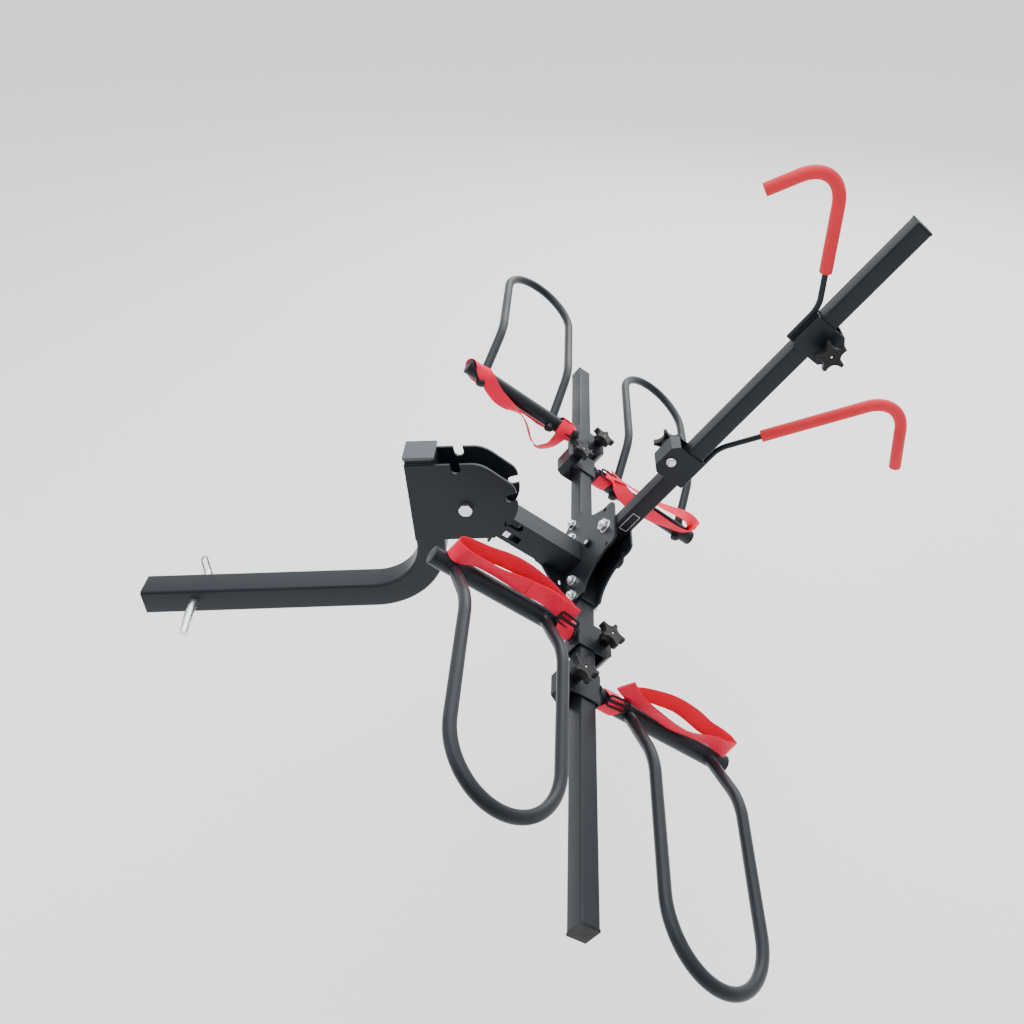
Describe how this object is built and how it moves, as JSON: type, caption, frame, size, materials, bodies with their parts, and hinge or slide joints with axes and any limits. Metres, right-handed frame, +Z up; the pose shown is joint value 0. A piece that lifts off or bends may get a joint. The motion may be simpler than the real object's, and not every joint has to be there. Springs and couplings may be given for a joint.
{
  "type": "hitch mounted bike rack",
  "caption": "Platform bike rack for a receiver hitch: bent hitch tube, tilting arm, crossbar with sliding wheel hoops and red straps, and a folding mast with padded hooks.",
  "frame": {"origin": "on the underside of the hitch shank, on its middle line, straight below the hitch-pin hole", "axes": "+X out of the receiver, away from the vehicle; +Y across the vehicle, along the crossbar; +Z up"},
  "size_m": [1.3602, 1.6718, 0.9313],
  "materials": {
    "steel": "fine textured black powder coat, satin",
    "plastic": "moulded black plastic, fine grain",
    "zinc": "bright zinc plating",
    "foam": "soft red foam rubber, matt",
    "webbing": "woven red polyester webbing"
  },
  "bodies": {
    "hitch": {"hitch_tube": "steel", "tube_cap": "plastic", "pivot_plate_near": "steel", "pivot_plate_far": "steel", "pivot_bolt": "zinc", "pivot_nut": "zinc"},
    "hitch_pin": {"hitch_pin": "zinc"},
    "hitch_clip": {"hitch_clip": "zinc"},
    "arm": {"arm_tube": "steel", "arm_gusset": "steel", "crossbar": "steel", "crossbar_cap_near": "plastic", "crossbar_cap_far": "plastic", "bracket_front": "steel", "bracket_rear": "steel", "bracket_bolt_1": "zinc", "bracket_bolt_2": "zinc", "bracket_bolt_3": "zinc", "bracket_bolt_4": "zinc", "mast_pivot_bolt": "zinc", "mast_lock_bush": "steel"},
    "latch": {"latch_pin": "steel", "latch_bar": "zinc"},
    "lock_pin": {"mast_lock_pin": "plastic"},
    "mast": {"mast_tube": "steel", "mast_cap": "plastic"},
    "upper_hook": {"upper_hook_clamp": "steel", "upper_hook_rod": "steel", "upper_hook_sleeve": "foam", "upper_hook_bolt": "zinc"},
    "upper_knob": {"upper_hook_knob": "plastic"},
    "lower_hook": {"lower_hook_clamp": "steel", "lower_hook_rod": "steel", "lower_hook_sleeve": "foam", "lower_hook_bolt": "zinc"},
    "lower_knob": {"lower_hook_knob": "plastic"},
    "near_front_holder": {"near_front_clamp": "steel", "near_front_spine": "steel", "near_front_hoop": "steel", "near_front_strap": "webbing", "near_front_buckle": "plastic"},
    "near_front_knob": {"near_front_knob": "plastic"},
    "near_rear_holder": {"near_rear_clamp": "steel", "near_rear_spine": "steel", "near_rear_hoop": "steel", "near_rear_strap": "webbing", "near_rear_buckle": "plastic"},
    "near_rear_knob": {"near_rear_knob": "plastic"},
    "far_rear_holder": {"far_rear_clamp": "steel", "far_rear_spine": "steel", "far_rear_hoop": "steel", "far_rear_strap": "webbing", "far_rear_buckle": "plastic"},
    "far_rear_knob": {"far_rear_knob": "plastic"},
    "far_front_holder": {"far_front_clamp": "steel", "far_front_spine": "steel", "far_front_hoop": "steel", "far_front_strap": "webbing", "far_front_buckle": "plastic"},
    "far_front_knob": {"far_front_knob": "plastic"}
  },
  "joints": [
    {"name": "tilt", "type": "hinge", "parent": "hitch", "child": "arm", "pos_m": [0.51, 0, 0.2204], "axis": [0, -1, 0], "range_deg": [0, 124]},
    {"name": "latch_pull", "type": "slide", "parent": "arm", "child": "latch", "axis": [0.766, 0, -0.6428], "range_m": [0, 0.022], "stiffness_N_per_m": 400, "springref_m": -0.012},
    {"name": "mast_fold", "type": "hinge", "parent": "arm", "child": "mast", "pos_m": [0.76579, 0, 0.13631], "axis": [0.766, 0, -0.6428], "range_deg": [-90, 90]},
    {"name": "lock_pin_pull", "type": "slide", "parent": "arm", "child": "lock_pin", "axis": [0.766, 0, -0.6428], "range_m": [0, 0.03]},
    {"name": "upper_hook_slide", "type": "slide", "parent": "mast", "child": "upper_hook", "axis": [0.6428, 0, 0.766], "range_m": [-0.1, 0.18]},
    {"name": "lower_hook_slide", "type": "slide", "parent": "mast", "child": "lower_hook", "axis": [0.6428, 0, 0.766], "range_m": [-0.06, 0.11]},
    {"name": "upper_knob_turn", "type": "hinge", "parent": "upper_hook", "child": "upper_knob", "pos_m": [1.1112, 0, 0.5044], "axis": [0, -1, 0], "continuous": true},
    {"name": "lower_knob_turn", "type": "hinge", "parent": "lower_hook", "child": "lower_knob", "pos_m": [0.8639, 0, 0.29679], "axis": [0, 1, 0], "continuous": true},
    {"name": "near_front_slide", "type": "slide", "parent": "arm", "child": "near_front_holder", "axis": [0, 1, 0], "range_m": [-0.022, 0.045]},
    {"name": "near_front_knob_turn", "type": "hinge", "parent": "near_front_holder", "child": "near_front_knob", "pos_m": [0.7263, -0.204, 0.04413], "axis": [0.6428, 0, 0.766], "continuous": true},
    {"name": "near_rear_slide", "type": "slide", "parent": "arm", "child": "near_rear_holder", "axis": [0, 1, 0], "range_m": [-0.33, 0.022]},
    {"name": "near_rear_knob_turn", "type": "hinge", "parent": "near_rear_holder", "child": "near_rear_knob", "pos_m": [0.68187, -0.317, 0.08141], "axis": [0.6428, 0, 0.766], "continuous": true},
    {"name": "far_rear_slide", "type": "slide", "parent": "arm", "child": "far_rear_holder", "axis": [0, 1, 0], "range_m": [-0.1, 0.018]},
    {"name": "far_rear_knob_turn", "type": "hinge", "parent": "far_rear_holder", "child": "far_rear_knob", "pos_m": [0.68187, 0.312, 0.08141], "axis": [0.6428, 0, 0.766], "continuous": true},
    {"name": "far_front_slide", "type": "slide", "parent": "arm", "child": "far_front_holder", "axis": [0, 1, 0], "range_m": [-0.018, 0.23]},
    {"name": "far_front_knob_turn", "type": "hinge", "parent": "far_front_holder", "child": "far_front_knob", "pos_m": [0.7263, 0.417, 0.04413], "axis": [0.6428, 0, 0.766], "continuous": true},
    {"name": "hitch_pin_play", "type": "slide", "parent": "hitch", "child": "hitch_pin", "axis": [0, -1, 0], "range_m": [0, 0.018]},
    {"name": "clip_pull", "type": "slide", "parent": "hitch_pin", "child": "hitch_clip", "axis": [0, 0, 1], "range_m": [0, 0.045]}
  ]
}
